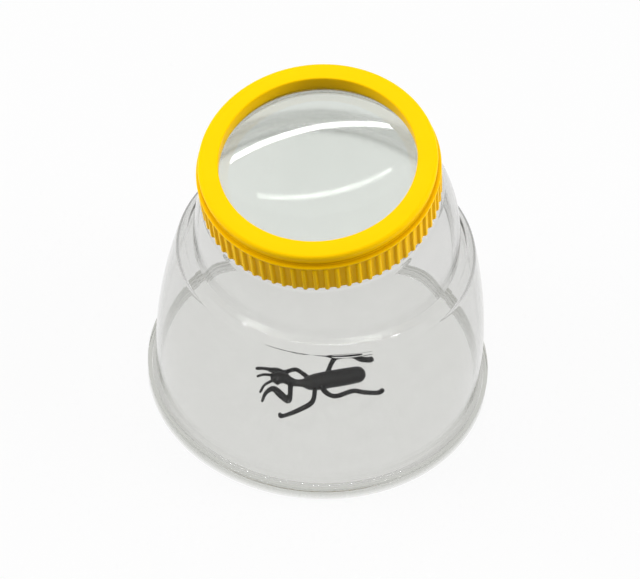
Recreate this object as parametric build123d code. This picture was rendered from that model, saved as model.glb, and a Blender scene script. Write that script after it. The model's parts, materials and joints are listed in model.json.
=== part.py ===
"""Bug viewing jar: a clear bell on a shallow tray, with a magnifier in a screw ring that leans to the front.

Millimetres, +Z up, origin at the centre of the tray's underside. The dome and the screw ring lean towards -Y.
"""
import os
from math import cos, radians, sin

from build123d import *

# Tray that the jar stands in
TRAY_RADIUS = 57.5
TRAY_FLOOR = 1.8
TRAY_RIM_HEIGHT = 5.0
TRAY_RIM_WALL = 1.35
TRAY_EDGE_ROUND = 0.5

# Jar: foot, bowed bell wall, rounded shoulder, level ledge, leaning dome and neck
JAR_WALL = 1.4
FOOT_CLEARANCE = 0.3
FOOT_FLANGE = 1.05
BELL_HEIGHT = 53.0
BELL_CROWN = 2.0
SHOULDER_RADIUS = 47.9
LEDGE_RISE = 2.6
LEDGE_WIDTH = 5.25
DOME_WAIST_DRAW = 0.65
DOME_WAIST_RISE = 10.2
DOME_HEIGHT = 27.9
DOME_TOP_WIDTH = 2.9
DOME_TOP_ROUND = 1.0
LEAN_ANGLE = 12.9
NECK_LIP_ROUND = 0.4

# Screw ring, which turns about the leaning neck
CAP_FOOT_GAP = 0.6
CAP_HEIGHT = 16.1
CAP_WALL = 1.5
CAP_BAND_HEIGHT = 4.4
CAP_BAND_STEP = 0.3
CAP_BEAD_HEIGHT = 0.9
CAP_TOP_ROUND = 0.9
THREAD_ROOM = 1.3
RIB_COUNT = 70
RIB_HEIGHT = 0.8
RIB_WIDTH = 2.0
WINDOW_FLARE = 0.3
BEZEL_DEPTH = 5.0

# Magnifier and the snap ring under it
LENS_RADIUS = 32.0
LENS_SEAT = 1.5
NECK_MARGIN = 1.8
LENS_EDGE = 2.2
LENS_TOP_CROWN = 4.2
LENS_UNDER_CROWN = 2.1
LENS_CLEARANCE = 0.3
SIGHT_CLEARANCE = 0.4
RETAINER_HEIGHT = 1.6
RETAINER_CLEARANCE = 0.1
LIP_GAP = 0.3

# Toy insect: heading of its body on the tray's floor and the place below its waist
TOY_HEADING = 41.0
TOY_PLACE = (6.2, -11.3)
TOY_LEG_RADIUS = 0.75
TOY_FEELER_RADIUS = 0.4
TOY_PAD_RADIUS = 0.95
TOY_PAD_HEIGHT = 0.9
LIMB_SIDES = 8
TRUNK_SIDES = 12
KNEE_LAP = 0.4
TOY_ABDOMEN_GIRTHS = (1.5, 2.4, 2.6, 2.65, 2.65, 2.6, 2.35, 1.2)
TOY_THORAX_GIRTHS = (1.6, 1.25, 1.15)
TOY_HEAD_GIRTHS = (0.9, 1.6, 1.6, 0.9)
TOY_HEAD_WIDTH = 4.2

# Heights along the jar's upright axis
WALL_TOP = TRAY_RIM_HEIGHT + BELL_HEIGHT
LEDGE_HEIGHT = WALL_TOP + LEDGE_RISE

# Radii of the foot and of the wall above it
FOOT_RADIUS = TRAY_RADIUS - TRAY_RIM_WALL - FOOT_CLEARANCE
WALL_RADIUS = FOOT_RADIUS - FOOT_FLANGE

# Radii of the neck, which is a margin wider than the magnifier, and of the dome below it
NECK_RADIUS = LENS_RADIUS + NECK_MARGIN
DOME_TOP_RADIUS = NECK_RADIUS + DOME_TOP_WIDTH
DOME_RADIUS = SHOULDER_RADIUS - LEDGE_WIDTH
DOME_WAIST_RADIUS = DOME_RADIUS - DOME_WAIST_DRAW

# Places along the leaning neck axis, counted from the ledge
CAP_BOTTOM = DOME_HEIGHT + CAP_FOOT_GAP
CAP_TOP = CAP_BOTTOM + CAP_HEIGHT
LENS_TOP = CAP_TOP - BEZEL_DEPTH
LENS_BOTTOM = LENS_TOP - LENS_EDGE
POCKET_BOTTOM = LENS_BOTTOM - RETAINER_HEIGHT
NECK_TOP = POCKET_BOTTOM - LIP_GAP
RIB_TOP = CAP_TOP - CAP_BAND_HEIGHT

# Radii of the screw ring
CAP_BORE = NECK_RADIUS + THREAD_ROOM
RIB_ROOT = CAP_BORE + CAP_WALL
BAND_RADIUS = RIB_ROOT - CAP_BAND_STEP
POCKET_RADIUS = LENS_RADIUS + LENS_CLEARANCE
SEAT_RADIUS = LENS_RADIUS - LENS_SEAT
WINDOW_RADIUS = SEAT_RADIUS - WINDOW_FLARE


def leaning_plane(angle, height):
    """Plane square to an axis that leans to the front by an angle, a height along it above the ledge's centre."""
    axis = Vector(0, -sin(radians(angle)), cos(radians(angle)))
    return Plane(Vector(0, 0, LEDGE_HEIGHT) + axis * height, x_dir=(1, 0, 0), z_dir=axis)


def turned(outline):
    """Solid of revolution about Z of a closed outline drawn in radius and height."""
    return revolve(Plane.XZ * make_face(outline), Axis.Z)


def bell_face(foot, inset):
    """Outline of half the bell from its foot to the level ledge, set in from the outer face by a wall's thickness."""
    wall_foot = (WALL_RADIUS - inset, TRAY_RIM_HEIGHT)
    wall_line = SagittaArc((WALL_RADIUS, TRAY_RIM_HEIGHT), (SHOULDER_RADIUS, WALL_TOP), -BELL_CROWN)
    wall_end = wall_line % 1
    wall_top = (SHOULDER_RADIUS - inset * wall_end.Y, WALL_TOP + inset * wall_end.X)
    wall = SagittaArc(wall_foot, wall_top, -BELL_CROWN)
    rising = wall % 1
    ledge = LEDGE_HEIGHT - inset
    ledge_edge = (wall_top[0] + (rising.X - 1) * (ledge - wall_top[1]) / rising.Y, ledge)
    shoulder = TangentArc(wall_top, ledge_edge, tangent=rising)
    return Polyline(*foot, wall_foot) + wall + shoulder + Polyline(ledge_edge, (0, ledge), foot[0])


def dome(inset):
    """Loft from the level ledge to the leaning top of the dome, set in by a wall's thickness."""
    sections = [
        Plane((0, 0, LEDGE_HEIGHT - inset)) * Circle(DOME_RADIUS - inset),
        leaning_plane(LEAN_ANGLE / 2, DOME_WAIST_RISE) * Circle(DOME_WAIST_RADIUS - inset),
        leaning_plane(LEAN_ANGLE, DOME_HEIGHT - inset) * Circle(DOME_TOP_RADIUS - inset),
    ]
    return loft(sections)


def make_base_tray():
    """Flat tray with a low rim round the jar's foot."""
    rim_inside = TRAY_RADIUS - TRAY_RIM_WALL
    tray = Cylinder(TRAY_RADIUS, TRAY_RIM_HEIGHT, align=(Align.CENTER, Align.CENTER, Align.MIN))
    hollow = Cylinder(rim_inside, TRAY_RIM_HEIGHT, align=(Align.CENTER, Align.CENTER, Align.MIN))
    tray -= Pos(0, 0, TRAY_FLOOR) * hollow
    outer_edges = tray.edges().filter_by(GeomType.CIRCLE).filter_by(lambda edge: edge.radius > rim_inside)
    return fillet(outer_edges, TRAY_EDGE_ROUND)


def make_jar_body():
    """Clear moulding with one wall all over: bell, shoulder, ledge, leaning dome and neck."""
    foot = [(0, TRAY_FLOOR), (FOOT_RADIUS, TRAY_FLOOR), (FOOT_RADIUS, TRAY_RIM_HEIGHT)]
    mouth = [(0, 0), (WALL_RADIUS - JAR_WALL, 0)]
    outside = turned(bell_face(foot, 0)) + dome(0)
    dome_rim = outside.edges().sort_by(leaning_axis)[-1]
    outside = fillet(dome_rim, DOME_TOP_ROUND)
    neck = extrude(leaning_plane(LEAN_ANGLE, DOME_HEIGHT) * Circle(NECK_RADIUS), NECK_TOP - DOME_HEIGHT)
    outside += fillet(neck.edges().sort_by(leaning_axis)[-1], NECK_LIP_ROUND)
    bore_foot = DOME_HEIGHT - JAR_WALL
    bore = extrude(leaning_plane(LEAN_ANGLE, bore_foot) * Circle(NECK_RADIUS - JAR_WALL), NECK_TOP - bore_foot + JAR_WALL)
    return outside - turned(bell_face(mouth, JAR_WALL)) - dome(JAR_WALL) - bore


def make_cap_ring():
    """Ribbed screw ring with a plain band, a wide bezel and a pocket for the magnifier, on the neck's axis."""
    outline = Polyline(
        (CAP_BORE, CAP_BOTTOM),
        (RIB_ROOT, CAP_BOTTOM),
        (RIB_ROOT, RIB_TOP),
        (BAND_RADIUS, RIB_TOP),
        (BAND_RADIUS, CAP_TOP - CAP_TOP_ROUND),
    )
    outline += TangentArc(
        (BAND_RADIUS, CAP_TOP - CAP_TOP_ROUND), (BAND_RADIUS - CAP_TOP_ROUND, CAP_TOP), tangent=(0, 1)
    )
    outline += Polyline(
        (BAND_RADIUS - CAP_TOP_ROUND, CAP_TOP),
        (WINDOW_RADIUS, CAP_TOP),
        (SEAT_RADIUS, LENS_TOP),
        (POCKET_RADIUS, LENS_TOP),
        (POCKET_RADIUS, POCKET_BOTTOM),
        (CAP_BORE, POCKET_BOTTOM),
        (CAP_BORE, CAP_BOTTOM),
    )
    rib = Rectangle(2 * RIB_HEIGHT, RIB_WIDTH)
    ribs = PolarLocations(RIB_ROOT, RIB_COUNT) * rib
    grip = Circle(RIB_ROOT) + ribs - Circle(CAP_BORE)
    bead = Circle(RIB_ROOT + RIB_HEIGHT) - Circle(CAP_BORE)
    ring = turned(outline)
    ring += Pos(0, 0, CAP_BOTTOM) * extrude(grip, RIB_TOP - CAP_BOTTOM)
    ring += Pos(0, 0, RIB_TOP - CAP_BEAD_HEIGHT) * extrude(bead, CAP_BEAD_HEIGHT)
    return neck_location * ring


def make_magnifier_lens():
    """Biconvex lens, flatter below, with a thin flat flange that seats under the bezel."""
    sight = SEAT_RADIUS - SIGHT_CLEARANCE
    summit = (0, LENS_TOP + LENS_TOP_CROWN)
    base = (0, LENS_BOTTOM - LENS_UNDER_CROWN)
    crown_top = TangentArc(summit, (sight, LENS_TOP), tangent=(1, 0))
    crown_bottom = TangentArc(base, (sight, LENS_BOTTOM), tangent=(1, 0))
    flange = Polyline((sight, LENS_TOP), (LENS_RADIUS, LENS_TOP), (LENS_RADIUS, LENS_BOTTOM), (sight, LENS_BOTTOM))
    return neck_location * turned(crown_top + flange + crown_bottom + Line(base, summit))


def make_lens_retainer():
    """Snap ring pressed into the pocket under the lens."""
    section = Circle(POCKET_RADIUS - RETAINER_CLEARANCE) - Circle(SEAT_RADIUS)
    return neck_location * Pos(0, 0, POCKET_BOTTOM) * extrude(section, RETAINER_HEIGHT)


def limb(points, radius):
    """Eight-sided limb along straight runs, each lapping the next at the knee."""
    runs = []
    for start, end in zip(points, points[1:]):
        run = Vector(end) - Vector(start)
        lap = run.normalized() * radius * KNEE_LAP
        section = Plane(Vector(start) - lap, z_dir=run) * RegularPolygon(radius, LIMB_SIDES)
        runs.append(extrude(section, run.length + 2 * lap.length))
    return Part() + runs


def swelling(start, end, girths):
    """Many-sided body whose radius runs through the girths at even steps from start to end."""
    span = Vector(end) - Vector(start)
    sections = []
    for step, girth in enumerate(girths):
        place = Vector(start) + span * (step / (len(girths) - 1))
        sections.append(Plane(place, z_dir=span) * RegularPolygon(girth, TRUNK_SIDES))
    return loft(sections, ruled=True)


def make_toy_mantis():
    """Moulded insect: abdomen, thorax and head, four legs on foot pads, two folded forelegs and two feelers."""
    tail = Vector(16.8, 2.7, 3.5)
    waist = Vector(-1.4, -0.2, 4.7)
    root = Vector(0.9, 0.2, 4.6)
    neck = Vector(-12.0, 2.2, 5.4)
    head = Vector(-13.0, 2.6, 5.6)
    walking_legs = [
        [(-0.9, -0.6, 4.5), (-4.3, -10.1, 5.6), (-13.5, -9.6, 1.2)],
        [(1.4, -0.4, 4.5), (3.6, -8.2, 6.0), (10.7, -6.6, 6.4), (20.5, -4.4, 1.2)],
        [(-1.4, 0.3, 4.7), (-6.5, 5.8, 6.5), (-17.5, 12.3, 1.2)],
        [(2.6, 0.6, 4.6), (7.3, 8.2, 6.5), (20.9, 9.9, 1.2)],
    ]
    forelegs = [
        [(-8.4, 1.2, 5.2), (-10.7, -5.9, 3.2), (-15.2, -0.9, 4.6), (-19.0, -3.4, 2.4)],
        [(-8.9, 1.7, 5.2), (-11.2, 7.6, 3.2), (-15.6, 4.9, 4.6)],
    ]
    feelers = [
        [(-13.4, 3.2, 6.2), (-17.4, 3.8, 7.6), (-20.0, 2.6, 8.2)],
        [(-13.4, 2.2, 6.2), (-17.6, -0.4, 7.6), (-20.0, -4.2, 8.2)],
    ]
    half_head = Vector(0, TOY_HEAD_WIDTH / 2, 0)
    toy = swelling(waist, tail, TOY_ABDOMEN_GIRTHS)
    toy += swelling(root, neck, TOY_THORAX_GIRTHS)
    toy += swelling(head - half_head, head + half_head, TOY_HEAD_GIRTHS)
    for points in walking_legs:
        toy += limb(points, TOY_LEG_RADIUS)
        foot_x, foot_y, foot_z = points[-1]
        pad = RegularPolygon(TOY_PAD_RADIUS, LIMB_SIDES)
        toy += Pos(foot_x, foot_y) * extrude(pad, foot_z + TOY_PAD_HEIGHT)
    for points in forelegs:
        toy += limb(points, TOY_LEG_RADIUS)
    for points in feelers:
        toy += limb(points, TOY_FEELER_RADIUS)
    return Pos(*TOY_PLACE, TRAY_FLOOR) * Rot(0, 0, TOY_HEADING) * toy


neck_location = leaning_plane(LEAN_ANGLE, 0).location
leaning_axis = Axis((0, 0, LEDGE_HEIGHT), leaning_plane(LEAN_ANGLE, 0).z_dir)
os.makedirs("parts", exist_ok=True)
for node, make in {
    "base_tray": make_base_tray,
    "jar_body": make_jar_body,
    "cap_ring": make_cap_ring,
    "magnifier_lens": make_magnifier_lens,
    "lens_retainer": make_lens_retainer,
    "toy_mantis": make_toy_mantis,
}.items():
    export_step(make(), f"parts/{node}.step")
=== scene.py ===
"""Looks of a bug viewing jar: a clear bell on a tray, a magnifier in a yellow screw ring and a toy mantis.

The scene is in metres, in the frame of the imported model: +Z up, origin under the tray's centre, the dome
leaning towards -Y. Sizes in the classes are in millimetres and become metres when a mesh is made.
"""
import json
import logging
import math
from dataclasses import dataclass
from enum import Enum
from typing import Callable, ClassVar, Iterable, Optional, Sequence

import bmesh
import bpy
from mathutils import Matrix, Vector


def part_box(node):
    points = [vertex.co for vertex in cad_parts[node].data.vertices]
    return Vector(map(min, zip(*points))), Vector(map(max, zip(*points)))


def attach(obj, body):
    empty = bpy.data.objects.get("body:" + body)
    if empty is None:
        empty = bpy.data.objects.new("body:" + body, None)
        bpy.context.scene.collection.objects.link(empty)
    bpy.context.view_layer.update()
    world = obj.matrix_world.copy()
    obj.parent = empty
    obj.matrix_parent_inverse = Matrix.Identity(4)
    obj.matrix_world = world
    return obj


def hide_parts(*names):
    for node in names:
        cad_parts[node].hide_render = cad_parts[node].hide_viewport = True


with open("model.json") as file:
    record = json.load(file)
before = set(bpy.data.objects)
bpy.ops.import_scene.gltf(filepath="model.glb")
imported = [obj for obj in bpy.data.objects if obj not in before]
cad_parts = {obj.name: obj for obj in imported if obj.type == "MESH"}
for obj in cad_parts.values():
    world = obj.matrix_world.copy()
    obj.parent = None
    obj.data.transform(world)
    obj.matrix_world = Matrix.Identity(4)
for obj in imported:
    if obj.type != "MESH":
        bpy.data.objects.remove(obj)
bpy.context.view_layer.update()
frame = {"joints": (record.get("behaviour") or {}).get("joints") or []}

LOG = logging.getLogger("bug_jar")
MM = 0.001

# Most of a noise lies between these values
NOISE_LOW = 0.3
NOISE_HIGH = 0.7

# Places of a Mix node's colour sockets, which share their names with its number sockets
MIX_FIRST = 6
MIX_SECOND = 7
MIX_RESULT = 2

Swell = Callable[[float], float]
OutlinePoint = tuple[float, float]
Corner = tuple[float, float, float]
Colour = tuple[float, float, float]


class Body(Enum):
    """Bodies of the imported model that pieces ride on."""

    BASE = "base"
    JAR = "jar"
    LENS = "lens"
    CAP = "cap"
    TOY = "toy"


class Slot(Enum):
    """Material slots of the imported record."""

    CLEAR = "clear_plastic"
    LENS = "lens_plastic"
    YELLOW = "yellow_plastic"
    BLACK = "black_plastic"


@dataclass(frozen=True)
class NeckLine:
    """Line that the dome, neck, screw ring and magnifier lean along.

    Attributes:
        ledge: Height of the ledge's centre, where the line starts, in millimetres.
        lean: Degrees that the line leans to the front.
    """

    ledge: float
    lean: float

    @classmethod
    def from_frame(cls) -> "NeckLine":
        """Read the line from the screw ring's joint.

        Returns:
            The leaning line.
        """
        joint = next(joint for joint in frame["joints"] if joint["name"] == "cap_turn")
        axis = Vector(joint["axis"])
        return cls(joint["pos_m"][2] / MM, math.degrees(math.atan2(-axis.y, axis.z)))


@dataclass(frozen=True)
class Station:
    """One ring of points on a plane that leans to the front.

    Attributes:
        radius: Millimetres from the axis.
        rise: Millimetres along the axis from the ledge's centre.
        lean: Degrees that the axis leans.
        swell: Extra radius in millimetres at an angle in radians, or None for a plain circle.
    """

    radius: float
    rise: float
    lean: float = 0.0
    swell: Optional[Swell] = None

    def ring(self, ledge: float, segments: int) -> list[Vector]:
        """Points round the station, or its one point on the axis.

        Args:
            ledge: Height of the ledge's centre.
            segments: Number of points round a ring.

        Returns:
            The points in millimetres.
        """
        sine = math.sin(math.radians(self.lean))
        cosine = math.cos(math.radians(self.lean))
        centre = Vector((0, -sine * self.rise, ledge + cosine * self.rise))
        if self.radius <= 0:
            return [centre]
        points = []
        for step in range(segments):
            angle = 2 * math.pi * step / segments
            radius = self.radius + (self.swell(angle) if self.swell else 0.0)
            across = radius * math.cos(angle)
            along = radius * math.sin(angle)
            points.append(centre + Vector((across, cosine * along, sine * along)))
        return points


class Draft:
    """Points and faces of one piece while it is shaped, in millimetres."""

    def __init__(self) -> None:
        """Start with nothing."""
        self.points: list[Vector] = []
        self.faces: list[tuple[int, ...]] = []

    def add(self, points: Iterable[Vector]) -> list[int]:
        """Add points.

        Args:
            points: Points in millimetres.

        Returns:
            Their numbers.
        """
        first = len(self.points)
        self.points.extend(points)
        return list(range(first, len(self.points)))

    def bridge(self, lower: Sequence[int], upper: Sequence[int]) -> None:
        """Join two rings with faces; a ring of one point is the tip of a fan.

        Args:
            lower: Point numbers of the first ring.
            upper: Point numbers of the second ring.
        """
        count = max(len(lower), len(upper))
        for step in range(count):
            corner = step, (step + 1) % count
            below = [lower[0]] if len(lower) == 1 else [lower[i] for i in corner]
            above = [upper[0]] if len(upper) == 1 else [upper[i] for i in reversed(corner)]
            self.faces.append((*below, *above))

    def stack(self, rings: Sequence[Sequence[Vector]], closed: bool = False) -> None:
        """Add rings and join each to the next.

        Args:
            rings: Rings of points, from one end of the form to the other.
            closed: Whether the last ring joins the first.
        """
        numbered = [self.add(ring) for ring in rings]
        for lower, upper in zip(numbered, numbered[1:]):
            self.bridge(lower, upper)
        if closed:
            self.bridge(numbered[-1], numbered[0])

    def tube(self, path: Sequence[Vector], radii: Sequence[float], sides: int = 20) -> None:
        """Add a round tube with domed ends along a path.

        Args:
            path: Points of the centre line.
            radii: Radius at each point.
            sides: Number of points round the tube.
        """
        heading = (path[1] - path[0]).normalized()
        across = heading.orthogonal().normalized()
        rings: list[list[Vector]] = []
        last = len(path) - 1
        for number, (point, radius) in enumerate(zip(path, radii)):
            ahead = path[min(number + 1, last)] - path[max(number - 1, 0)]
            across = (across - ahead.normalized() * across.dot(ahead.normalized())).normalized()
            up = ahead.normalized().cross(across)
            ring = []
            for side in range(sides):
                angle = 2 * math.pi * side / sides
                ring.append(point + (across * math.cos(angle) + up * math.sin(angle)) * radius)
            rings.append(ring)
        tail = (path[-1] - path[-2]).normalized()
        first = self.dome(rings[0], path[0], -heading * radii[0])
        end = self.dome(rings[-1], path[-1], tail * radii[-1])
        self.stack([*reversed(first), *rings, *end])

    @staticmethod
    def dome(ring: Sequence[Vector], centre: Vector, reach: Vector) -> list[list[Vector]]:
        """Rings that close a tube's end with half a ball.

        Args:
            ring: The tube's last ring.
            centre: Its centre.
            reach: Vector from the centre to the ball's tip.

        Returns:
            Rings from the tube outwards, the last one a single point.
        """
        rings = []
        for degrees in (30, 60):
            shrink = math.cos(math.radians(degrees))
            out = centre + reach * math.sin(math.radians(degrees))
            rings.append([out + (point - centre) * shrink for point in ring])
        return [*rings, [centre + reach]]

    def make(self, name: str, sharp: float = 32.0) -> bpy.types.Object:
        """Turn the draft into a smooth shaded mesh object.

        Args:
            name: Name of the piece.
            sharp: Degrees above which an edge stays sharp.

        Returns:
            The object, linked to the scene.
        """
        mesh = bpy.data.meshes.new(name)
        mesh.from_pydata([point * MM for point in self.points], [], self.faces)
        shaped = bmesh.new()
        shaped.from_mesh(mesh)
        bmesh.ops.recalc_face_normals(shaped, faces=shaped.faces)
        for face in shaped.faces:
            face.smooth = True
        for edge in shaped.edges:
            edge.smooth = edge.calc_face_angle(0.0) < math.radians(sharp)
        shaped.to_mesh(mesh)
        shaped.free()
        piece = bpy.data.objects.new(name, mesh)
        bpy.context.scene.collection.objects.link(piece)
        return piece


def bowed(start: OutlinePoint, end: OutlinePoint, crown: float, steps: int) -> list[OutlinePoint]:
    """Arc between two outline points that bows to the right of its direction.

    Args:
        start: First point.
        end: Last point.
        crown: Height of the arc over its chord.
        steps: Number of spans.

    Returns:
        Points along the arc, both ends included.
    """
    first, last = Vector(start), Vector(end)
    chord = last - first
    radius = (chord.length_squared / 4 + crown * crown) / (2 * crown)
    inward = Vector((-chord.y, chord.x)).normalized()
    centre = (first + last) / 2 + inward * (radius - crown)
    half = math.asin(chord.length / 2 / radius)
    middle = math.atan2(-inward.y, -inward.x)
    angles = [middle + half * (2 * step / steps - 1) for step in range(steps + 1)]
    return [(centre.x + radius * math.cos(angle), centre.y + radius * math.sin(angle)) for angle in angles]


def leaving(start: OutlinePoint, heading: Vector, end: OutlinePoint, steps: int) -> list[OutlinePoint]:
    """Arc that leaves a point along a heading and ends at another point.

    Args:
        start: First point.
        heading: Direction of the arc at its start.
        end: Last point.
        steps: Number of spans.

    Returns:
        Points along the arc after its start.
    """
    first, chord = Vector(start), Vector(end) - Vector(start)
    side = Vector((-heading.y, heading.x)).normalized()
    radius = chord.length_squared / (2 * chord.dot(side))
    centre = first + side * radius
    turn = 2 * math.asin(chord.length / 2 / abs(radius)) * math.copysign(1, radius)
    spoke = first - centre
    points = []
    for step in range(1, steps + 1):
        swung = Matrix.Rotation(turn * step / steps, 2) @ spoke
        points.append((centre.x + swung.x, centre.y + swung.y))
    return points


def rounded(corners: Sequence[Corner], steps: int = 5) -> list[OutlinePoint]:
    """Closed outline whose corners are rounded by tangent arcs.

    Args:
        corners: Radius, height and rounding of each corner, in order.
        steps: Number of spans of each arc.

    Returns:
        Points of the outline.
    """
    points: list[OutlinePoint] = []
    for number, (radius, height, rounding) in enumerate(corners):
        corner = Vector((radius, height))
        back = (Vector(corners[number - 1][:2]) - corner).normalized()
        ahead = (Vector(corners[(number + 1) % len(corners)][:2]) - corner).normalized()
        if rounding <= 0:
            points.append((corner.x, corner.y))
            continue
        reach = rounding / math.tan(back.angle(ahead) / 2)
        start = corner + back * reach
        points.append((start.x, start.y))
        points.extend(leaving(start, -back, corner + ahead * reach, steps))
    return points


def placement(columns: Sequence[Vector]) -> Matrix:
    """Matrix of an object from its three axes and its place.

    Args:
        columns: The X, Y and Z axes and the place.

    Returns:
        The matrix.
    """
    rows = [[column[row] for column in columns] for row in range(3)]
    return Matrix([*rows, [0, 0, 0, 1]])


def moved_in(corner: Vector, before: Vector, after: Vector, inset: float) -> Vector:
    """Move an outline's corner in with both faces that meet there.

    Args:
        corner: Corner of an outline that runs with its inside on the left.
        before: Unit heading of the face up to the corner.
        after: Unit heading of the face from the corner on.
        inset: Distance that both faces move in.

    Returns:
        The moved corner.
    """
    inward = Vector((-before.y, before.x)) + Vector((-after.y, after.x))
    return corner + inward * inset / (1 + before.dot(after))


class Shader:
    """Node tree of one material, with short ways to add and join nodes."""

    def __init__(self, name: str) -> None:
        """Start an empty material.

        Args:
            name: Name of the material.
        """
        self.material = bpy.data.materials.new(name)
        self.material.use_nodes = True
        self.tree = self.material.node_tree
        self.tree.nodes.clear()
        self.output = self.add("ShaderNodeOutputMaterial")
        self.place = self.add("ShaderNodeTexCoord").outputs["Object"]

    def add(self, kind: str, **inputs: object) -> bpy.types.Node:
        """Add a node and set or link its sockets.

        Args:
            kind: Type of the node.
            **inputs: Values, or sockets to link from, by socket name with _ for a space.

        Returns:
            The node.
        """
        node = self.tree.nodes.new(kind)
        for name, value in inputs.items():
            socket = node.inputs[name.replace("_", " ")]
            if isinstance(value, bpy.types.NodeSocket):
                self.join(value, socket)
            else:
                socket.default_value = value
        return node

    def join(self, out: bpy.types.NodeSocket, into: bpy.types.NodeSocket) -> None:
        """Link two sockets."""
        self.tree.links.new(out, into)

    def noise(self, scale: float, detail: float = 3.0) -> bpy.types.NodeSocket:
        """Add a noise that is fixed to the piece.

        Args:
            scale: Cells in a metre.
            detail: Octaves.

        Returns:
            The noise's value.
        """
        node = self.add("ShaderNodeTexNoise", Vector=self.place, Scale=scale, Detail=detail)
        return node.outputs["Fac"]

    def ranged(self, value: bpy.types.NodeSocket, low: float, high: float) -> bpy.types.NodeSocket:
        """Spread a noise over a range.

        Args:
            value: Noise value.
            low: Result where the noise is low.
            high: Result where it is high.

        Returns:
            The result.
        """
        node = self.add(
            "ShaderNodeMapRange", Value=value,
            From_Min=NOISE_LOW, From_Max=NOISE_HIGH, To_Min=low, To_Max=high,
        )
        return node.outputs["Result"]

    def blend(self, value: bpy.types.NodeSocket, low: Colour, high: Colour) -> bpy.types.NodeSocket:
        """Run between two colours.

        Args:
            value: Noise value.
            low: Colour where the noise is low.
            high: Colour where it is high.

        Returns:
            The colour.
        """
        node = self.add("ShaderNodeValToRGB", Fac=value)
        places = (NOISE_LOW, NOISE_HIGH)
        for element, place, colour in zip(node.color_ramp.elements, places, (low, high)):
            element.position = place
            element.color = (*colour, 1.0)
        return node.outputs["Color"]

    def painted_crevice_shade(
        self, colour: bpy.types.NodeSocket, crevice_shade: Colour, reach: float = 0.0015
    ) -> bpy.types.NodeSocket:
        """Paint shade into a colour where the piece shuts its own surface in, read from ambient occlusion.

        Args:
            colour: Colour of the open surface.
            crevice_shade: Colour of the painted shade in grooves and corners.
            reach: Metres within which the piece shuts its surface in.

        Returns:
            The colour with its painted shade.
        """
        # Ambient occlusion mixes a painted shade colour into grooves and corners, where shade falls.
        cover = self.add("ShaderNodeAmbientOcclusion", Distance=reach)
        cover.only_local = True
        mix = self.add("ShaderNodeMix")
        mix.data_type = "RGBA"
        mix.inputs[MIX_FIRST].default_value = (*crevice_shade, 1.0)
        self.join(cover.outputs["AO"], mix.inputs[0])
        self.join(colour, mix.inputs[MIX_SECOND])
        return mix.outputs[MIX_RESULT]

    def bump(self, value: bpy.types.NodeSocket, depth: float, strength: float) -> bpy.types.NodeSocket:
        """Raise the surface by a noise.

        Args:
            value: Noise value.
            depth: Height of the noise in metres.
            strength: Share of that height that shows.

        Returns:
            The bent normal.
        """
        node = self.add("ShaderNodeBump", Strength=strength, Distance=depth, Height=value)
        return node.outputs["Normal"]


@dataclass(frozen=True)
class ClearPlastic:
    """Clear moulded plastic with faint flow ripples.

    Attributes:
        name: Name of the material.
        tint: Colour that passes one surface pair.
        shade: Colour that is left in thick plastic.
        density: Strength of that shade in a metre.
        index: Refractive index.
        gleam: Share of the reflections that shows where the surface is seen straight on.
        glaze: Share of a glassy layer over the plastic.
        echoes: Reflections inside the walls after which light leaves straight on.
        haze: Lowest and highest roughness.
        ripple: Height of the flow ripples in metres.
    """

    name: str
    tint: Colour
    shade: Colour
    density: float
    index: float
    gleam: float
    glaze: float
    echoes: int
    haze: tuple[float, float]
    ripple: float
    cloud_cells: ClassVar[float] = 140.0
    cloud_lift: ClassVar[float] = 0.015
    haze_cells: ClassVar[float] = 900.0
    ripple_cells: ClassVar[float] = 70.0
    glaze_roughness: ClassVar[float] = 0.02

    def material(self) -> bpy.types.Material:
        """Make the material.

        Returns:
            The material.
        """
        shader = Shader(self.name)
        gleam = (self.gleam, self.gleam, self.gleam, 1.0)
        path = shader.add("ShaderNodeLightPath")
        inside = shader.add("ShaderNodeMath")
        inside.operation = "LESS_THAN"
        inside.inputs[1].default_value = self.echoes - 0.5
        shader.join(path.outputs["Glossy Depth"], inside.inputs[0])
        cloud = shader.noise(self.cloud_cells)
        paler = tuple(min(1.0, channel + self.cloud_lift) for channel in self.tint)
        waves = shader.noise(self.ripple_cells, detail=1.0)
        plastic = shader.add(
            "ShaderNodeBsdfPrincipled",
            Base_Color=shader.blend(cloud, self.tint, paler),
            Roughness=shader.ranged(shader.noise(self.haze_cells), *self.haze),
            IOR=self.index,
            Alpha=inside.outputs["Value"],
            Normal=shader.bump(waves, self.ripple, strength=1.0),
            Transmission_Weight=1.0,
            Specular_Tint=gleam,
            Coat_Weight=self.glaze,
            Coat_Roughness=self.glaze_roughness,
        )
        depth = shader.add("ShaderNodeVolumeAbsorption", Color=(*self.shade, 1.0), Density=self.density)
        shader.join(plastic.outputs["BSDF"], shader.output.inputs["Surface"])
        shader.join(depth.outputs["Volume"], shader.output.inputs["Volume"])
        return shader.material


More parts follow.
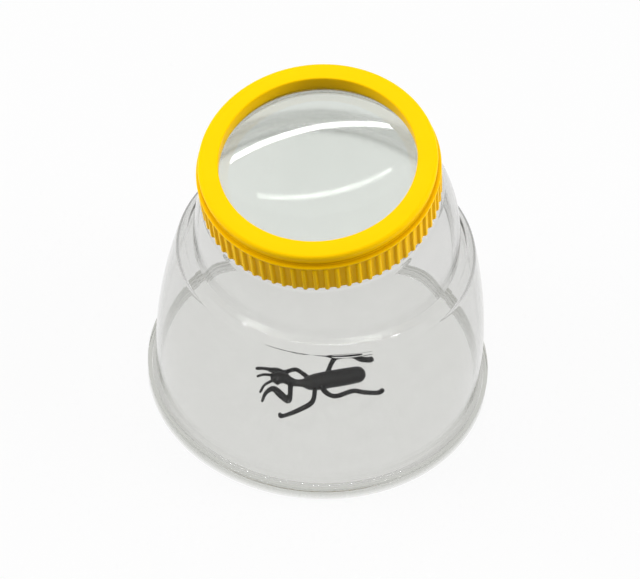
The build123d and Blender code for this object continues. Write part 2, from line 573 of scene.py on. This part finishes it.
@dataclass(frozen=True)
class MouldedPlastic:
    """Opaque moulded plastic with a slight grain and painted shade in its grooves and corners.

    Attributes:
        name: Name of the material.
        colour: Main colour.
        swirl: Colour of the faint flow marks.
        crevice_shade: Colour of the painted shade in grooves and corners.
        polish: Lowest and highest roughness.
        gloss: Specular level.
        grain: Height of the grain in metres.
    """

    name: str
    colour: Colour
    swirl: Colour
    crevice_shade: Colour
    polish: tuple[float, float]
    gloss: float
    grain: float
    index: ClassVar[float] = 1.5
    flow_cells: ClassVar[float] = 60.0
    polish_cells: ClassVar[float] = 500.0
    grain_cells: ClassVar[float] = 2600.0
    grain_share: ClassVar[float] = 0.6

    def material(self) -> bpy.types.Material:
        """Make the material.

        Returns:
            The material.
        """
        shader = Shader(self.name)
        flow = shader.blend(shader.noise(self.flow_cells, detail=4.0), self.colour, self.swirl)
        pores = shader.noise(self.grain_cells)
        plastic = shader.add(
            "ShaderNodeBsdfPrincipled",
            # Painted shade: grooves and corners darken towards a shade colour by ambient occlusion.
            Base_Color=shader.painted_crevice_shade(flow, self.crevice_shade),
            Roughness=shader.ranged(shader.noise(self.polish_cells), *self.polish),
            IOR=self.index,
            Normal=shader.bump(pores, self.grain, self.grain_share),
            Specular_IOR_Level=self.gloss,
        )
        shader.join(plastic.outputs["BSDF"], shader.output.inputs["Surface"])
        return shader.material


JAR_PLASTIC = ClearPlastic(
    name="clear_jar",
    tint=(0.95, 0.95, 0.945),
    shade=(0.5, 0.5, 0.48),
    density=140.0,
    index=1.3,
    gleam=0.7,
    glaze=0.0,
    echoes=3,
    haze=(0.03, 0.05),
    ripple=0.000001,
)
TRAY_PLASTIC = ClearPlastic(
    name="clear_tray",
    tint=(0.95, 0.95, 0.94),
    shade=(0.5, 0.51, 0.46),
    density=175.0,
    index=1.49,
    gleam=0.4,
    glaze=0.0,
    echoes=4,
    haze=(0.08, 0.14),
    ripple=0.000002,
)
LENS_PLASTIC = ClearPlastic(
    name="clear_lens",
    tint=(0.89, 0.925, 0.885),
    shade=(0.5, 0.55, 0.5),
    density=20.0,
    index=1.49,
    gleam=0.2,
    glaze=0.8,
    echoes=4,
    haze=(0.07, 0.1),
    ripple=0.0,
)
YELLOW_PLASTIC = MouldedPlastic(
    name="yellow_ring",
    colour=(0.97, 0.575, 0.0),
    swirl=(0.985, 0.595, 0.0),
    # Painted shade, deep orange-brown, in the ribs' grooves and the ring's corners.
    crevice_shade=(0.2, 0.045, 0.0),
    polish=(0.3, 0.42),
    gloss=0.06,
    grain=0.00001,
)
BLACK_PLASTIC = MouldedPlastic(
    name="black_toy",
    colour=(0.004, 0.004, 0.004),
    swirl=(0.008, 0.008, 0.008),
    # Painted shade in the toy's creases and corners.
    crevice_shade=(0.002, 0.002, 0.002),
    polish=(0.4, 0.55),
    gloss=0.15,
    grain=0.00003,
)


class SubAssembly:
    """One moulding of the jar: it is shaped, dressed and set to ride on its body."""

    node: str
    body: Body
    slot: Slot
    finish: ClearPlastic | MouldedPlastic

    def shape(self) -> bpy.types.Object:
        """Make the piece's mesh."""
        raise NotImplementedError

    def build(self) -> bpy.types.Object:
        """Shape the piece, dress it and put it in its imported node's place.

        Returns:
            The finished piece.
        """
        piece = self.shape()
        piece.data.materials.append(self.finish.material())
        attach(piece, self.body.value)
        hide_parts(self.node)
        LOG.info("%s stands for %s with %d points", piece.name, self.node, len(piece.data.vertices))
        return piece


@dataclass
class BaseTray(SubAssembly):
    """Shallow clear tray with a low rim round the jar's foot."""

    neck: NeckLine
    floor: float = 1.8
    rim_height: float = 5.0
    rim_wall: float = 1.35
    rounding: float = 0.2
    corner: float = 0.9
    segments: int = 256
    node = "base_tray"
    body = Body.BASE
    slot = Slot.CLEAR
    finish = TRAY_PLASTIC

    def shape(self) -> bpy.types.Object:
        """Turn the tray's outline.

        Returns:
            The tray.
        """
        outside = -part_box(self.node)[0].x / MM
        inside = outside - self.rim_wall
        outline = rounded([
            (outside, 0, self.rounding),
            (outside, self.rim_height, self.rounding),
            (inside, self.rim_height, self.rounding),
            (inside, self.floor, self.corner),
            (0, self.floor, 0),
            (0, 0, 0),
        ])
        stations = [Station(radius, height - self.neck.ledge) for radius, height in outline]
        rings = [station.ring(self.neck.ledge, self.segments) for station in stations]
        draft = Draft()
        draft.stack([*rings[-1:], *rings[:-1]])
        return draft.make("tray_moulding")


@dataclass
class Thread:
    """Single-start screw thread on the leaning line.

    Attributes:
        height: Height of the ridge; negative on the inside of a bore.
        width: Width of the ridge at its root.
        first: Rise of the ridge at angle zero in its first turn.
        turns: Number of turns.
        lead: Millimetres that one turn climbs.
        run_in: Rate at which the ridge comes up at its ends, in full heights a turn.
    """

    height: float
    width: float
    first: float
    turns: float
    lead: float = 6.0
    run_in: float = 12.0

    def swell(self, rise: float) -> Swell:
        """Extra radius round a ring at a rise.

        Args:
            rise: Millimetres along the leaning line.

        Returns:
            Function from an angle to the ridge's height there.
        """

        def ridge(angle: float) -> float:
            """Height of the ridge at an angle."""
            turn = angle / (2 * math.pi)
            climb = (rise - self.first) / self.lead - turn
            nearest = min(max(round(climb), 0), math.ceil(self.turns) - 1)
            travelled = nearest + turn
            fade = min(1.0, max(0.0, self.run_in * min(travelled, self.turns - travelled)))
            off = abs(climb - nearest) * self.lead / (self.width / 2)
            return self.height * fade * (1 + math.cos(math.pi * min(1.0, off))) / 2

        return ridge


@dataclass
class JarBody(SubAssembly):
    """Clear moulding of one wall: foot, bowed bell, shoulder, ledge, leaning dome and screw neck."""

    neck: NeckLine
    wall: float = 1.4
    foot_floor: float = 1.8
    foot_radius: float = 55.85
    foot_height: float = 5.0
    wall_radius: float = 54.8
    brow_radius: float = 47.95
    brow_height: float = 58.2
    lip_radius: float = 45.1
    brow_round: float = 2.2
    lip_round: float = 0.8
    crown: float = 2.0
    dome_radius: float = 42.65
    waist_radius: float = 42.0
    waist_rise: float = 10.2
    dome_top_radius: float = 36.7
    dome_rise: float = 27.9
    dome_round: float = 1.0
    neck_radius: float = 33.8
    neck_rise: float = 35.5
    edge: float = 0.35
    least_round: float = 0.4
    top_draft: float = 0.1
    bell_spans: int = 28
    neck_spans: int = 30
    segments: int = 256
    node = "jar_body"
    body = Body.JAR
    slot = Slot.CLEAR
    finish = JAR_PLASTIC

    def bell(self, inset: float) -> list[OutlinePoint]:
        """Outline of the bell from the wall's foot to the ledge's crease.

        Args:
            inset: Distance in from the outer face.

        Returns:
            Radius and height of each point.
        """
        brow = Vector((self.brow_radius, self.brow_height))
        lip = Vector((self.lip_radius, self.neck.ledge))
        outer = bowed((self.wall_radius, self.foot_height), brow, self.crown, self.bell_spans)
        rise = (brow - Vector(outer[-2])).normalized()
        slope = (lip - brow).normalized()
        level = Vector((-1, 0))
        brow = moved_in(brow, rise, slope, inset)
        lip = moved_in(lip, slope, level, inset)
        wall = bowed((self.wall_radius - inset, self.foot_height), brow, self.crown, self.bell_spans)
        shoulder = rounded([
            (*wall[-2], 0),
            (*brow, max(self.least_round, self.brow_round - inset)),
            (*lip, max(self.least_round, self.lip_round - inset)),
            (self.dome_radius - inset, lip.y, 0),
        ])
        return [*wall[:-2], *shoulder]

    def dome(self, inset: float, steps: int = 30) -> list[list[Vector]]:
        """Rings of the dome, which bends from level at the ledge to the neck's lean.

        Args:
            inset: Distance in from the outer face.
            steps: Number of spans.

        Returns:
            Rings from above the ledge to below the dome's top edge.
        """
        ledge = Station(self.dome_radius - inset, -inset)
        waist = Station(self.waist_radius - inset, self.waist_rise, self.neck.lean / 2)
        top = Station(self.dome_top_radius - inset, self.dome_rise - inset, self.neck.lean)
        low, mid, high = (station.ring(self.neck.ledge, self.segments) for station in (ledge, waist, top))
        bend = self.waist_rise / self.dome_rise
        rings = []
        for step in range(1, steps):
            way = step / steps
            shares = (
                (way - bend) * (way - 1) / bend,
                way * (way - 1) / (bend * (bend - 1)),
                way * (way - bend) / (1 - bend),
            )
            rings.append([a * shares[0] + b * shares[1] + c * shares[2] for a, b, c in zip(low, mid, high)])
        return rings

    def upright(self, outline: Iterable[OutlinePoint]) -> list[list[Vector]]:
        """Rings of the level part of the jar."""
        stations = [Station(radius, height - self.neck.ledge) for radius, height in outline]
        return [station.ring(self.neck.ledge, self.segments) for station in stations]

    def leaning(self, outline: Iterable[OutlinePoint], thread: Optional[Thread] = None) -> list[list[Vector]]:
        """Rings of the leaning part of the jar.

        Args:
            outline: Radius and rise of each ring.
            thread: Thread that the rings carry, if any.

        Returns:
            The rings.
        """
        rings = []
        for radius, rise in outline:
            swell = thread.swell(rise) if thread else None
            station = Station(radius, rise, self.neck.lean, swell)
            rings.append(station.ring(self.neck.ledge, self.segments))
        return rings

    def shape(self) -> bpy.types.Object:
        """Stack the rings up the outside and down the inside.

        Returns:
            The jar.
        """
        mouth = self.wall_radius - self.wall
        foot = rounded([
            (mouth, self.foot_floor, self.edge),
            (self.foot_radius, self.foot_floor, self.edge),
            (self.foot_radius, self.foot_height, self.edge),
            (self.wall_radius, self.foot_height, 0),
        ])
        round_top = rounded([
            (self.dome_top_radius, self.dome_rise - 2 * self.dome_round, 0),
            (self.dome_top_radius - self.top_draft, self.dome_rise, self.dome_round),
            (self.neck_radius, self.dome_rise, 0),
        ])[1:-1]
        steps = self.neck_spans
        height = self.neck_rise - self.dome_rise
        climb = [self.dome_rise + height * step / steps for step in range(steps - 1)]
        thread = Thread(height=0.7, width=2.2, first=29.2, turns=0.9)
        bore = self.neck_radius - self.wall
        shelf = self.dome_rise - self.wall
        mouth_line = rounded([
            (self.neck_radius, self.dome_rise, 0),
            (self.neck_radius, self.neck_rise, self.edge),
            (bore, self.neck_rise, self.edge),
            (bore, shelf, self.dome_round),
            (self.dome_top_radius - self.wall, shelf, self.dome_round),
            (self.dome_top_radius - self.wall, shelf - 2 * self.dome_round, 0),
        ])[1:-1]
        rings = [
            *self.upright(foot[:-1]),
            *self.upright(self.bell(0)),
            *self.dome(0)[:-1],
            *self.leaning(round_top),
            *self.leaning([(self.neck_radius, rise) for rise in climb], thread),
            *self.leaning(mouth_line),
            *reversed(self.dome(self.wall)[:-1]),
            *self.upright(reversed(self.bell(self.wall))),
        ]
        draft = Draft()
        draft.stack(rings, closed=True)
        return draft.make("jar_moulding")


@dataclass
class ScrewRing(SubAssembly):
    """Yellow screw ring with grip ribs, a plain band, a wide bezel and a pocket for the magnifier.

    The rib line holds each rib ring's rise over the foot and its share of the ribs' height. The rib gap and
    flank are shares of half the space from rib to rib. The bead over the ribs is set in at its lower edge by
    bead_under and at its upper edge by bead_over, and soft is the height of both roundings.
    """

    neck: NeckLine
    foot: float = 28.5
    top: float = 44.5
    bore: float = 35.1
    root: float = 36.6
    rib_height: float = 0.8
    rib_count: int = 70
    rib_gap: float = 0.4
    rib_flank: float = 0.4
    rib_line: tuple[OutlinePoint, ...] = (
        (0.0, 0.75), (0.15, 0.95), (0.4, 1.0), (4.0, 1.0), (8.0, 1.0), (10.2, 1.0), (10.5, 0.8), (10.7, 0.3)
    )
    rib_top: float = 39.3
    bead_top: float = 40.2
    band: float = 36.8
    band_foot: float = 35.9
    round_top: float = 1.2
    soft: float = 0.25
    bead_under: float = 0.12
    bead_over: float = 0.15
    bead_slope: float = 0.05
    band_fillet: float = 0.2
    foot_chamfer: float = 0.3
    window_round: float = 0.5
    window: float = 30.2
    seat: float = 30.5
    seat_rise: float = 39.6
    pocket: float = 32.3
    pocket_rise: float = 35.8
    arc_spans: int = 7
    bore_spans: int = 26
    rib_spans: int = 14
    node = "cap_ring"
    body = Body.CAP
    slot = Slot.YELLOW
    finish = YELLOW_PLASTIC

    def ribs(self, height: float) -> Swell:
        """Extra radius of the grip ribs.

        Args:
            height: Height of the ribs.

        Returns:
            Function from an angle to the height there.
        """

        def rib(angle: float) -> float:
            """Height of the ribs at an angle."""
            phase = abs((angle * self.rib_count / (2 * math.pi)) % 1 - 0.5) * 2
            climb = min(max((phase - self.rib_gap) / self.rib_flank, 0.0), 1.0)
            return height * climb * climb * (3 - 2 * climb)

        return rib

    def shape(self) -> bpy.types.Object:
        """Stack the ring's outline, with ribs outside and thread inside.

        Returns:
            The ring.
        """
        crest = self.root + self.rib_height
        lean = self.neck.lean
        stations = [
            Station(self.bore + self.foot_chamfer, self.foot, lean),
            Station(self.root - self.foot_chamfer, self.foot, lean),
        ]
        for rise, share in self.rib_line:
            stations.append(Station(self.root, self.foot + rise, lean, self.ribs(self.rib_height * share)))
        outline = [
            (crest - self.bead_under, self.rib_top),
            (crest, self.rib_top + self.soft),
            (crest, self.bead_top - self.soft),
            (crest - self.bead_over, self.bead_top - self.bead_slope),
            (self.band_foot + self.band_fillet, self.bead_top + self.bead_slope),
            (self.band_foot, self.bead_top + self.soft),
        ]
        outline += rounded([
            (self.band_foot, self.bead_top + 2 * self.soft, 0),
            (self.band, self.top, self.round_top),
            (self.window, self.top, self.window_round),
            (self.seat, self.seat_rise, 0),
            (self.pocket, self.seat_rise, 0),
            (self.pocket, self.pocket_rise, 0),
            (self.bore, self.pocket_rise, 0),
        ], self.arc_spans)
        stations += [Station(radius, rise, lean) for radius, rise in outline]
        thread = Thread(height=-0.9, width=1.9, first=26.2, turns=1.5)
        drop = self.foot + self.foot_chamfer - self.pocket_rise
        for step in range(1, self.bore_spans + 1):
            rise = self.pocket_rise + drop * step / self.bore_spans
            stations.append(Station(self.bore, rise, lean, thread.swell(rise)))
        draft = Draft()
        segments = self.rib_count * self.rib_spans
        draft.stack([station.ring(self.neck.ledge, segments) for station in stations], closed=True)
        return draft.make("grip_ring")


@dataclass
class Magnifier(SubAssembly):
    """Large biconvex magnifier with a thin flat edge."""

    neck: NeckLine
    radius: float = 32.0
    sight: float = 30.1
    reach: float = 31.4
    top: float = 39.6
    edge: float = 2.2
    top_crown: float = 4.2
    under_crown: float = 2.1
    steps: int = 40
    segments: int = 192
    node = "magnifier_lens"
    body = Body.LENS
    slot = Slot.LENS
    finish = LENS_PLASTIC

    def crown(self, height: float) -> list[OutlinePoint]:
        """Outline of a crown that is part of a ball.

        Args:
            height: Height of the crown at its middle.

        Returns:
            Radius and height of each point, from the middle to under the bezel.
        """
        ball = (self.sight ** 2 + height ** 2) / (2 * height)
        radii = [self.reach * step / self.steps for step in range(self.steps + 1)]
        return [(radius, height - ball + math.sqrt(ball * ball - radius * radius)) for radius in radii]

    def shape(self) -> bpy.types.Object:
        """Stack both crowns and the edge.

        Returns:
            The magnifier.
        """
        bottom = self.top - self.edge
        upper = [(radius, self.top + height) for radius, height in self.crown(self.top_crown)]
        lower = [(radius, bottom - height) for radius, height in self.crown(self.under_crown)]
        rim = [(self.radius, upper[-1][1]), (self.radius, lower[-1][1])]
        outline = [*upper, *rim, *reversed(lower)]
        stations = [Station(radius, rise, self.neck.lean) for radius, rise in outline]
        draft = Draft()
        draft.stack([station.ring(self.neck.ledge, self.segments) for station in stations])
        return draft.make("viewing_lens")


@dataclass
class LensRetainer(SubAssembly):
    """Snap ring under the magnifier, with three lugs that grip the pocket."""

    neck: NeckLine
    outside: float = 32.1
    inside: float = 31.0
    foot: float = 35.8
    height: float = 1.6
    lug: float = 0.1
    lug_count: int = 3
    lug_share: float = 0.12
    chamfer: float = 0.3
    segments: int = 180
    node = "lens_retainer"
    body = Body.CAP
    slot = Slot.YELLOW
    finish = YELLOW_PLASTIC

    def shape(self) -> bpy.types.Object:
        """Stack the ring's outline, with lugs on its outer face.

        Returns:
            The snap ring.
        """

        def lugs(angle: float) -> float:
            """Height of the lugs at an angle."""
            return self.lug if (self.lug_count * angle / (2 * math.pi)) % 1 < self.lug_share else 0.0

        top = self.foot + self.height
        lean = self.neck.lean
        stations = [
            Station(self.outside - self.chamfer, self.foot, lean),
            Station(self.outside, self.foot + self.chamfer, lean, lugs),
            Station(self.outside, top - self.chamfer, lean, lugs),
            Station(self.outside - self.chamfer, top, lean),
            Station(self.inside + self.chamfer, top, lean),
            Station(self.inside, top - self.chamfer, lean),
            Station(self.inside, self.foot + self.chamfer, lean),
            Station(self.inside + self.chamfer, self.foot, lean),
        ]
        draft = Draft()
        draft.stack([station.ring(self.neck.ledge, self.segments) for station in stations], closed=True)
        return draft.make("snap_ring")


@dataclass
class ToyMantis(SubAssembly):
    """Black moulded mantis that lies loose on the tray's floor.

    Its own frame has X from head to tail, Y to its right and Z up from the tray's floor.
    """

    heading: float = 41.0
    place: tuple[float, float, float] = (6.2, -11.3, 1.8)
    leg: float = 0.82
    feeler: float = 0.5
    voxel: float = 0.26
    relax_share: float = 0.5
    relax_rounds: int = 4
    node = "toy_mantis"
    body = Body.TOY
    slot = Slot.BLACK
    finish = BLACK_PLASTIC

    @staticmethod
    def smooth(points: Sequence[tuple[float, ...]], spans: int = 6) -> list[Vector]:
        """Smooth line through points; a fourth number, such as a radius, is smoothed with them.

        Args:
            points: Points to pass through.
            spans: Spans between two points.

        Returns:
            Points along the line.
        """
        knots = [Vector(point) for point in points]
        padded = [knots[0] * 2 - knots[1], *knots, knots[-1] * 2 - knots[-2]]
        line = []
        for a, b, c, d in zip(padded, padded[1:], padded[2:], padded[3:]):
            for step in range(spans):
                t = step / spans
                slope = (c - a) * t
                bend = (a * 2 - b * 5 + c * 4 - d) * t * t
                twist = (b * 3 - a - c * 3 + d) * t ** 3
                line.append((b * 2 + slope + bend + twist) / 2)
        return [*line, knots[-1]]

    def limb(self, draft: Draft, points: Sequence[tuple[float, float, float, float]]) -> None:
        """Add a limb.

        Args:
            draft: Draft that takes the limb.
            points: Place and radius at each joint of the limb.
        """
        line = self.smooth(points)
        draft.tube([point.to_3d() for point in line], [point[3] for point in line])

    def shape(self) -> bpy.types.Object:
        """Model the trunk and limbs, melt them into one skin and set it down.

        Returns:
            The toy.
        """
        draft = Draft()
        leg, feeler = self.leg, self.feeler
        limbs = {
            "trunk": [
                (14.2, 2.5, 3.5, 2.85), (9.0, 1.7, 3.9, 2.95), (4.0, 1.0, 4.3, 2.95),
                (-0.6, 0.3, 4.6, 2.85), (-3.2, 0.2, 4.7, 2.3), (-5.0, 0.3, 4.8, 1.4),
                (-7.2, 0.6, 4.9, 1.25), (-9.0, 1.4, 5.1, 1.5), (-10.6, 2.7, 5.3, 1.75),
                (-12.6, 3.2, 5.5, 2.1), (-13.9, 3.2, 5.6, 1.5),
            ],
            "eyes": [(-13.2, 1.3, 5.4, 1.0), (-14.2, 3.0, 5.6, 1.2), (-14.0, 4.8, 5.6, 1.0)],
            "left_middle_leg": [
                (-0.9, -0.6, 4.5, 0.9), (-1.6, -3.6, 4.7, leg), (-2.6, -7.2, 5.3, leg),
                (-4.4, -9.7, 5.4, 0.9), (-9.5, -10.4, 3.2, leg), (-12.6, -9.7, 1.1, 0.7),
                (-13.9, -9.7, 1.0, 0.8), (-14.1, -8.9, 1.0, 0.7),
            ],
            "left_hind_leg": [
                (1.0, -0.4, 4.5, 1.1), (1.6, -4.0, 4.7, 0.95), (3.1, -7.0, 5.6, leg),
                (5.4, -8.0, 6.1, leg), (10.6, -6.8, 6.3, leg), (15.0, -5.7, 3.6, leg),
                (19.8, -4.4, 1.1, leg), (21.6, -3.6, 1.0, 0.9),
            ],
            "right_middle_leg": [
                (-2.2, 1.6, 4.7, 0.9), (-4.6, 4.0, 5.7, 0.75), (-6.7, 5.2, 6.4, 0.75),
                (-10.3, 5.9, 4.9, 0.75), (-13.2, 8.4, 3.4, 0.8), (-15.9, 10.9, 2.0, 0.6),
                (-18.3, 12.2, 1.0, 0.62),
            ],
            "right_hind_leg": [
                (2.6, 0.6, 4.6, 0.9), (5.3, 5.6, 5.6, leg), (7.3, 8.0, 6.2, leg),
                (10.2, 9.2, 5.4, leg), (14.0, 9.9, 4.2, leg), (17.2, 9.9, 2.3, leg),
                (20.0, 10.4, 1.1, 0.9), (20.9, 10.6, 1.0, 0.9),
            ],
            "left_foreleg": [
                (-9.0, 1.0, 5.2, 1.0), (-9.4, -1.4, 4.6, 0.9), (-10.6, -5.6, 3.4, 0.9),
                (-12.8, -3.1, 3.9, 1.25), (-15.0, -0.6, 4.6, 1.0), (-17.6, -1.4, 3.8, 0.7),
                (-19.2, -3.6, 2.4, 0.5),
            ],
            "right_foreleg": [
                (-9.6, 2.6, 5.2, 1.1), (-10.4, 4.8, 5.0, 1.1), (-12.4, 7.0, 4.6, 1.1),
                (-14.6, 8.4, 3.9, 0.8),
            ],
            "right_feeler": [(-13.4, 3.6, 6.2, 0.6), (-17.5, 3.5, 7.5, feeler), (-19.8, 2.8, 7.8, feeler)],
            "left_feeler": [(-13.4, 2.2, 6.2, 0.6), (-17.9, -0.9, 7.5, feeler), (-20.0, -4.1, 7.8, feeler)],
        }
        for points in limbs.values():
            self.limb(draft, points)
        turn = Matrix.Translation(self.place) @ Matrix.Rotation(math.radians(self.heading), 4, "Z")
        draft.points = [turn @ point for point in draft.points]
        return self.melted(draft.make("mantis_draft"))

    def melted(self, drafted: bpy.types.Object) -> bpy.types.Object:
        """Melt overlapping forms into one smooth skin.

        Args:
            drafted: Object with the separate forms, which is removed.

        Returns:
            The skin.
        """
        remesh = drafted.modifiers.new("melt", "REMESH")
        remesh.mode = "VOXEL"
        remesh.voxel_size = self.voxel * MM
        relax = drafted.modifiers.new("relax", "SMOOTH")
        relax.factor = self.relax_share
        relax.iterations = self.relax_rounds
        evaluated = drafted.evaluated_get(bpy.context.evaluated_depsgraph_get())
        mesh = bpy.data.meshes.new_from_object(evaluated)
        mesh.name = "mantis_moulding"
        mesh.shade_smooth()
        piece = bpy.data.objects.new("mantis_moulding", mesh)
        bpy.context.scene.collection.objects.link(piece)
        bpy.data.objects.remove(drafted)
        return piece


@dataclass(frozen=True)
class PhotoCamera:
    """Camera at the photograph's place, in millimetres and degrees."""

    azimuth: float = 27.386
    distance: float = 481.22
    height: float = 538.77
    pan: float = -0.121
    tilt: float = 46.171
    roll: float = 3.996
    lens: float = 119.40
    sensor: float = 36.0

    def build(self) -> None:
        """Set the scene's camera."""
        around = math.radians(self.azimuth)
        heading = Vector((-math.sin(around), math.cos(around), 0))
        side = Vector((math.cos(around), math.sin(around), 0))
        pan, tilt, roll = (math.radians(angle) for angle in (self.pan, self.tilt, self.roll))
        ahead = heading * math.cos(pan) + side * math.sin(pan)
        right = side * math.cos(pan) - heading * math.sin(pan)
        forward = ahead * math.cos(tilt) - Vector((0, 0, math.sin(tilt)))
        upward = right.cross(forward)
        across = right * math.cos(roll) + upward * math.sin(roll)
        top = upward * math.cos(roll) - right * math.sin(roll)
        data = bpy.data.cameras.new("photo_camera")
        data.lens = self.lens
        data.sensor_width = self.sensor
        data.sensor_fit = "HORIZONTAL"
        camera = bpy.data.objects.new("photo_camera", data)
        place = -heading * self.distance + Vector((0, 0, self.height))
        camera.matrix_world = placement((across, top, -forward, place * MM))
        bpy.context.scene.collection.objects.link(camera)
        bpy.context.scene.camera = camera


@dataclass(frozen=True)
class AreaLamp:
    """Rectangular lamp that points at a target.

    Attributes:
        name: Name of the lamp.
        place: Where it stands, in metres.
        target: Point that it faces.
        along: Direction of its length.
        size: Length and width in metres.
        radiance: Brightness of its face.
        lit: Names of the only pieces that it lights, or none for all.
    """

    name: str
    place: tuple[float, float, float]
    target: tuple[float, float, float]
    along: tuple[float, float, float]
    size: tuple[float, float]
    radiance: float
    lit: tuple[str, ...] = ()

    def build(self) -> None:
        """Add the lamp; only a lamp for named pieces shows in reflections."""
        length, width = self.size
        data = bpy.data.lights.new(self.name, "AREA")
        data.shape = "RECTANGLE"
        data.size = length
        data.size_y = width
        data.energy = self.radiance * math.pi * length * width
        lamp = bpy.data.objects.new(self.name, data)
        back = (Vector(self.place) - Vector(self.target)).normalized()
        across = Vector(self.along)
        across = (across - back * across.dot(back)).normalized()
        lamp.matrix_world = placement((across, back.cross(across), back, Vector(self.place)))
        lamp.visible_camera = False
        lamp.visible_glossy = bool(self.lit)
        lamp.visible_transmission = bool(self.lit)
        if self.lit:
            pieces = bpy.data.collections.new(self.name)
            for name in self.lit:
                pieces.objects.link(bpy.data.objects[name])
            lamp.light_linking.receiver_collection = pieces
        bpy.context.scene.collection.objects.link(lamp)


@dataclass(frozen=True)
class Studio:
    """White floor and soft light of the scene; sizes in metres."""

    floor_size: float = 8.0
    sky: float = 0.32
    shadow_share: float = 0.1
    paint: float = 0.45
    glow: float = 1.03
    aim: tuple[float, float, float] = (0.0, -0.01, 0.06)
    lens_aim: tuple[float, float, float] = (0, -0.005, 0.1)

    @staticmethod
    def seen(tree: bpy.types.NodeTree) -> bpy.types.NodeSocket:
        """Whether a ray shows the background: camera, glossy and transmission rays do.

        Args:
            tree: Node tree that takes the nodes.

        Returns:
            1 for such rays and 0 for the rest.
        """
        path = tree.nodes.new("ShaderNodeLightPath")
        total = path.outputs["Is Camera Ray"]
        for name in ("Is Glossy Ray", "Is Transmission Ray"):
            largest = tree.nodes.new("ShaderNodeMath")
            largest.operation = "MAXIMUM"
            tree.links.new(total, largest.inputs[0])
            tree.links.new(path.outputs[name], largest.inputs[1])
            total = largest.outputs[0]
        return total

    def world(self) -> None:
        """Light the scene softly from all round, with a white backdrop."""
        world = bpy.data.worlds.new("studio")
        world.use_nodes = True
        tree = world.node_tree
        tree.nodes.clear()
        soft = tree.nodes.new("ShaderNodeBackground")
        soft.inputs["Color"].default_value = (1, 1, 1, 1)
        soft.inputs["Strength"].default_value = self.sky
        white = tree.nodes.new("ShaderNodeBackground")
        white.inputs["Color"].default_value = (1, 1, 1, 1)
        mix = tree.nodes.new("ShaderNodeMixShader")
        output = tree.nodes.new("ShaderNodeOutputWorld")
        tree.links.new(self.seen(tree), mix.inputs[0])
        tree.links.new(soft.outputs[0], mix.inputs[1])
        tree.links.new(white.outputs[0], mix.inputs[2])
        tree.links.new(mix.outputs[0], output.inputs["Surface"])
        bpy.context.scene.world = world

    def floor(self) -> None:
        """Lay a white floor that keeps a soft shadow."""
        half = self.floor_size / 2
        corners = [(-half, -half, 0), (half, -half, 0), (half, half, 0), (-half, half, 0)]
        mesh = bpy.data.meshes.new("floor")
        mesh.from_pydata(corners, [], [(0, 1, 2, 3)])
        shader = Shader("white_floor")
        paint = shader.add("ShaderNodeBsdfDiffuse", Color=(self.paint, self.paint, self.paint, 1))
        glow = shader.add("ShaderNodeEmission", Color=(1, 1, 1, 1), Strength=self.glow)
        share = shader.add("ShaderNodeMath")
        share.operation = "MULTIPLY"
        share.inputs[1].default_value = 1 - self.shadow_share
        shader.join(self.seen(shader.tree), share.inputs[0])
        mix = shader.add("ShaderNodeMixShader")
        shader.join(share.outputs[0], mix.inputs[0])
        shader.join(paint.outputs[0], mix.inputs[1])
        shader.join(glow.outputs[0], mix.inputs[2])
        shader.join(mix.outputs[0], shader.output.inputs["Surface"])
        mesh.materials.append(shader.material)
        floor = bpy.data.objects.new("floor", mesh)
        bpy.context.scene.collection.objects.link(floor)

    def lamps(self) -> list[AreaLamp]:
        """Soft lamps for all pieces, and two that draw one highlight each on the clear pieces.

        Returns:
            The lamps.
        """
        level = (1, 0, 0)
        sideways = (0.46, -0.89, 0)
        return [
            AreaLamp("key", (-0.25, 0.35, 1.3), self.aim, level, size=(0.9, 0.9), radiance=2.4),
            AreaLamp("left_fill", (-0.8, -0.41, 0.5), self.aim, sideways, size=(0.6, 0.6), radiance=7.2),
            AreaLamp("right_fill", (0.8, 0.41, 0.5), self.aim, sideways, size=(0.6, 0.6), radiance=7.2),
            AreaLamp("front_fill", (0.35, -0.7, 1.1), self.aim, level, size=(0.6, 0.6), radiance=0.8),
            AreaLamp(
                "strip", (-0.31, 0.29, 0.60), self.lens_aim, (0.79, 0.61, 0),
                size=(0.62, 0.03), radiance=16.0, lit=("viewing_lens",),
            ),
            AreaLamp(
                "line", (0.17, -0.33, 0.98), self.aim, (0.89, 0.46, 0),
                size=(1.7, 0.12), radiance=50.0, lit=("jar_moulding",),
            ),
        ]

    def build(self) -> None:
        """Set up the floor, the backdrop and the lamps."""
        self.world()
        self.floor()
        for lamp in self.lamps():
            lamp.build()
        bpy.context.scene.view_settings.view_transform = "Standard"


def main() -> None:
    """Build the pieces in order, then the studio and the camera."""
    logging.basicConfig(level=logging.INFO, format="%(message)s")
    neck = NeckLine.from_frame()
    pieces = (
        BaseTray(neck),
        JarBody(neck),
        ScrewRing(neck),
        Magnifier(neck),
        LensRetainer(neck),
        ToyMantis(),
    )
    for piece in pieces:
        piece.build()
    Studio().build()
    PhotoCamera().build()


if __name__ == "__main__":
    main()
